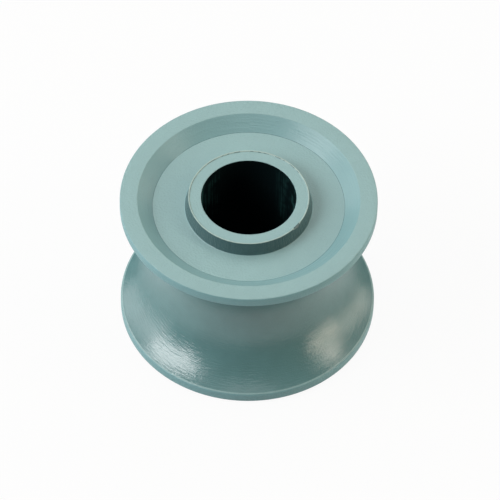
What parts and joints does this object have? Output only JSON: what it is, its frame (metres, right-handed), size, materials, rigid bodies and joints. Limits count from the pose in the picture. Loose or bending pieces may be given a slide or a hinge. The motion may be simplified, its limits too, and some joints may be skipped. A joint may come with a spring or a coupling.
{
  "type": "sheave",
  "caption": "One-piece moulded rope sheave with two thin rims, a wide round groove, shallow face recesses and a plain hub with a through bore.",
  "frame": {"origin": "centre of the bore, half-way between the two hub ends", "axes": "+Z along the bore, towards the hub end with the nick; -Y towards the front of the picture and +X to its right"},
  "size_m": [0.026, 0.026, 0.0172],
  "materials": {
    "moulded_acetal": "satin"
  },
  "bodies": {
    "root": {"sheave": "moulded_acetal"}
  },
  "joints": []
}
